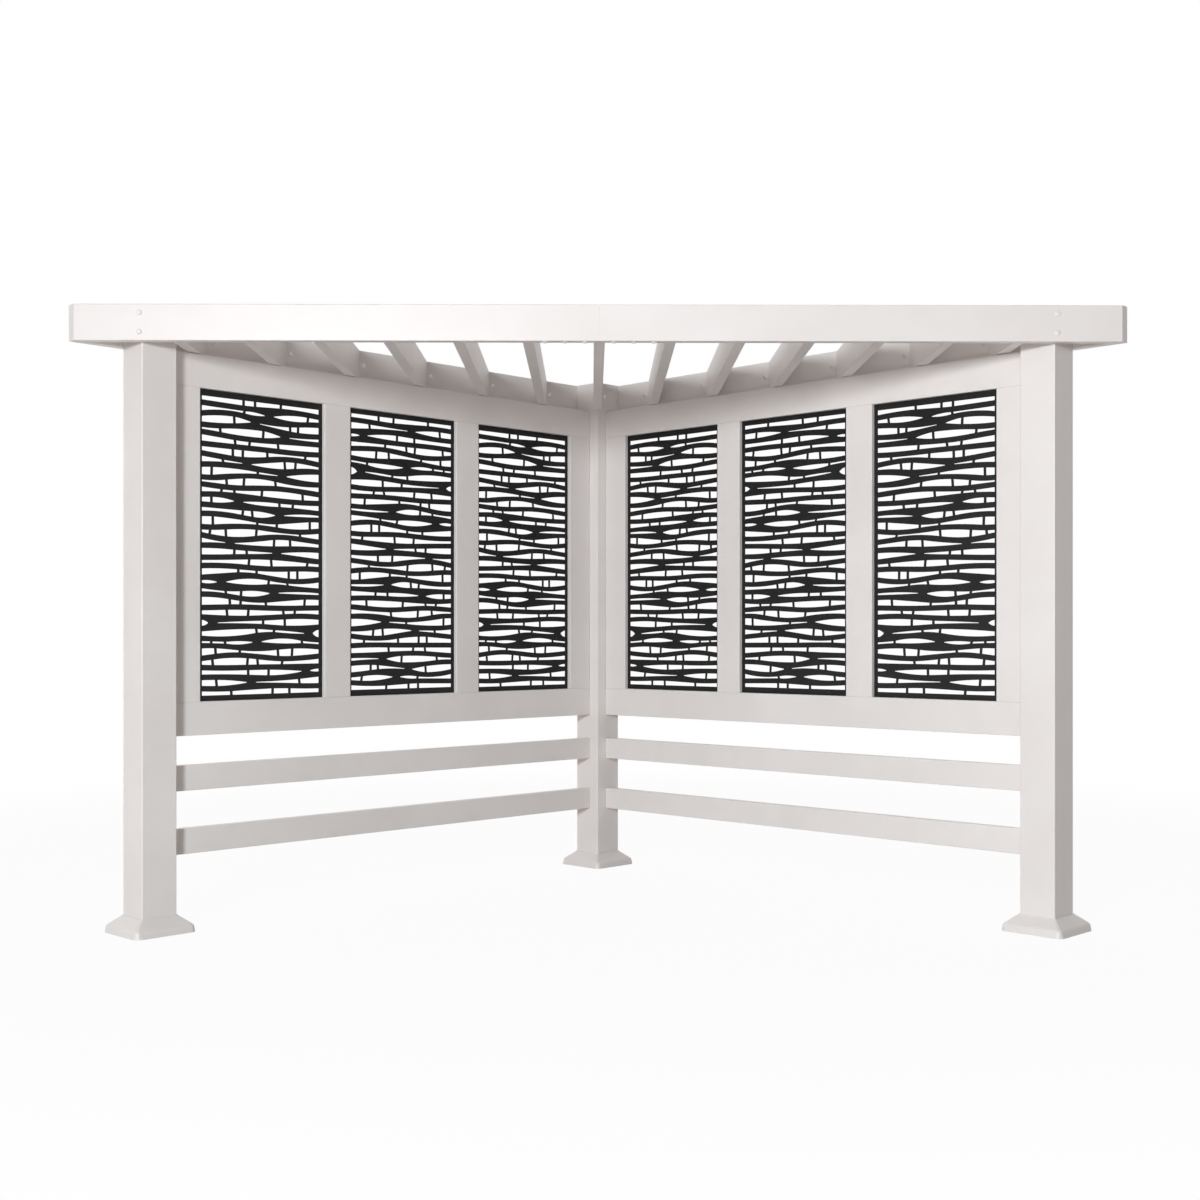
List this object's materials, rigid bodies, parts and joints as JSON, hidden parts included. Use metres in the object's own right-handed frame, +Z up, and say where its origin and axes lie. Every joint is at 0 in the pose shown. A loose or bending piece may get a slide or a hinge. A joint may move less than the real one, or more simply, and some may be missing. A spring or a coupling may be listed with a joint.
{
  "type": "corner pergola",
  "caption": "White steel corner pergola: black cut-out screen walls with lower rails meet at a corner post under a triangular roof of open rafters; the long side is open.",
  "frame": {"origin": "on the ground under the centre of the corner post", "axes": "+X to the right along the open front, -Y out of the open front, +Z up; the walls run at 45 degrees to X and Y"},
  "size_m": [3.8422, 1.9916, 2.29],
  "materials": {
    "white_coat": "satin powder coat, warm white",
    "black_coat": "matte powder coat, black",
    "plated_steel": "zinc plated"
  },
  "bodies": {
    "structure": {"base_plates": "white_coat", "corner_post": "white_coat", "frame_brackets": "plated_steel", "front_beam_bolts": "white_coat", "front_beam_left": "white_coat", "front_beam_right": "white_coat", "front_beam_splice": "plated_steel", "front_nut_blocks": "plated_steel", "left_bottom_rail": "white_coat", "left_first_lower_rail": "white_coat", "left_post": "white_coat", "left_screen_1": "black_coat", "left_screen_2": "black_coat", "left_screen_3": "black_coat", "left_second_lower_rail": "white_coat", "left_stile_1": "white_coat", "left_stile_2": "white_coat", "left_stile_3": "white_coat", "left_stile_4": "white_coat", "left_top_rail": "white_coat", "left_wall_beam": "white_coat", "lower_rail_brackets": "plated_steel", "post_caps": "white_coat", "rafter_1": "white_coat", "rafter_10": "white_coat", "rafter_11": "white_coat", "rafter_12": "white_coat", "rafter_13": "white_coat", "rafter_2": "white_coat", "rafter_3": "white_coat", "rafter_4": "white_coat", "rafter_5": "white_coat", "rafter_6": "white_coat", "rafter_7": "white_coat", "rafter_8": "white_coat", "rafter_9": "white_coat", "rafter_bolts": "plated_steel", "rafter_front_brackets": "white_coat", "rafter_wall_brackets": "white_coat", "right_bottom_rail": "white_coat", "right_first_lower_rail": "white_coat", "right_post": "white_coat", "right_screen_1": "black_coat", "right_screen_2": "black_coat", "right_screen_3": "black_coat", "right_second_lower_rail": "white_coat", "right_stile_1": "white_coat", "right_stile_2": "white_coat", "right_stile_3": "white_coat", "right_stile_4": "white_coat", "right_top_rail": "white_coat", "right_wall_beam": "white_coat", "self_drilling_screws": "plated_steel", "splice_bolts": "white_coat", "wall_beam_bolts": "plated_steel", "wall_beam_end_caps": "white_coat"},
    "corner_cover": {"corner_skirt": "white_coat"},
    "left_cover": {"left_skirt": "white_coat"},
    "right_cover": {"right_skirt": "white_coat"}
  },
  "joints": [
    {"name": "corner_skirt_lift", "type": "slide", "parent": "structure", "child": "corner_cover", "axis": [0, 0, 1], "range_m": [0, 0.2]},
    {"name": "left_skirt_lift", "type": "slide", "parent": "structure", "child": "left_cover", "axis": [0, 0, 1], "range_m": [0, 0.2]},
    {"name": "right_skirt_lift", "type": "slide", "parent": "structure", "child": "right_cover", "axis": [0, 0, 1], "range_m": [0, 0.2]}
  ]
}
